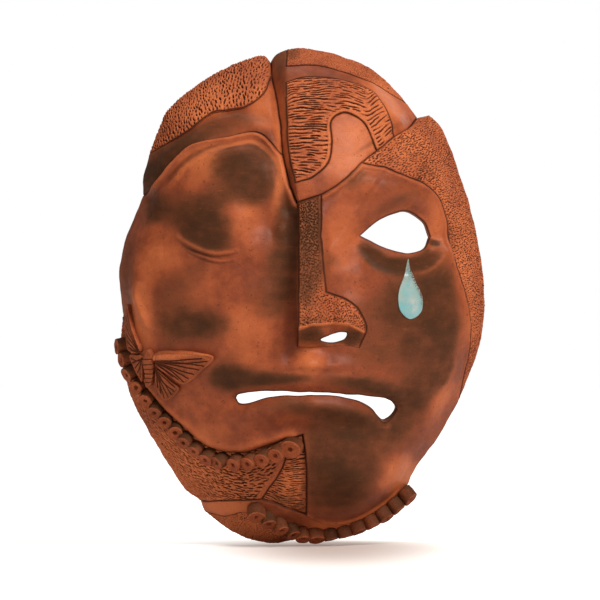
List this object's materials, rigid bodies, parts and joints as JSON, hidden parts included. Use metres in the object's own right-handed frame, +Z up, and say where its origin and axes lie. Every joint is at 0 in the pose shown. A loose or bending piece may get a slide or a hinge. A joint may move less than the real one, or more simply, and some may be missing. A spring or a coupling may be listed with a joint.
{
  "type": "mexican folk art mask",
  "caption": "Clay wall mask of a face in two unlike halves, with pierced eye and mouth, applied rings and butterfly, glazed tear, and a hinged hanging wire behind.",
  "frame": {"origin": "on the flat back rim at its top, in the wall plane, in line with the left side of the nose", "axes": "+Y out of the mask's back, into the wall it hangs on, so the face looks along -Y; +Z up; +X to the right as seen from the front"},
  "size_m": [0.2147, 0.0802, 0.2883],
  "materials": {
    "terracotta": "hand-burnished red earthenware with brown smoke clouds from the firing, tooled where it is textured",
    "smoked_terracotta": "the same clay, burnished and smoked dark",
    "raw_terracotta": "the same clay left unburnished and matt",
    "turquoise_glaze": "turquoise glaze, mottled and thin at the edge",
    "wire": "plain drawn steel wire, slightly dull"
  },
  "bodies": {
    "shell": {"face_shell": "terracotta", "nose": "terracotta", "temple_band": "terracotta", "forehead_slab": "terracotta", "crown_band": "terracotta", "comb_panel": "terracotta", "hair_panel": "terracotta", "jaw_slab": "terracotta", "comb_wedge": "terracotta", "ribbon": "terracotta", "chin_slab": "terracotta", "brow_band": "smoked_terracotta", "tear": "turquoise_glaze", "butterfly_body": "terracotta", "butterfly_forewing_right": "terracotta", "butterfly_hindwing_right": "terracotta", "butterfly_forewing_left": "terracotta", "butterfly_hindwing_left": "terracotta", "jaw_ring_01": "terracotta", "jaw_ring_02": "terracotta", "jaw_ring_03": "terracotta", "jaw_ring_04": "terracotta", "jaw_ring_05": "terracotta", "jaw_ring_06": "terracotta", "jaw_ring_07": "terracotta", "jaw_ring_08": "terracotta", "jaw_ring_09": "terracotta", "jaw_ring_10": "terracotta", "jaw_ring_11": "terracotta", "jaw_ring_12": "terracotta", "jaw_ring_13": "terracotta", "jaw_ring_14": "terracotta", "jaw_ring_15": "terracotta", "jaw_ring_16": "terracotta", "jaw_ring_17": "terracotta", "chin_ring_01": "terracotta", "chin_ring_02": "terracotta", "chin_ring_03": "terracotta", "chin_ring_04": "terracotta", "chin_ring_05": "terracotta", "chin_ring_06": "terracotta", "chin_ring_07": "terracotta", "chin_ring_08": "terracotta", "chin_ring_09": "terracotta", "chin_ring_10": "terracotta", "chin_ring_11": "terracotta", "chin_ring_12": "terracotta", "chin_ring_13": "terracotta", "lug_left": "raw_terracotta", "lug_right": "raw_terracotta"},
    "hanger": {"hanging_wire": "wire"}
  },
  "joints": [
    {"name": "hanger_swing", "type": "hinge", "parent": "shell", "child": "hanger", "pos_m": [0, -0.0254, -0.0615], "axis": [1, 0, 0], "range_deg": [-150, 12]}
  ]
}
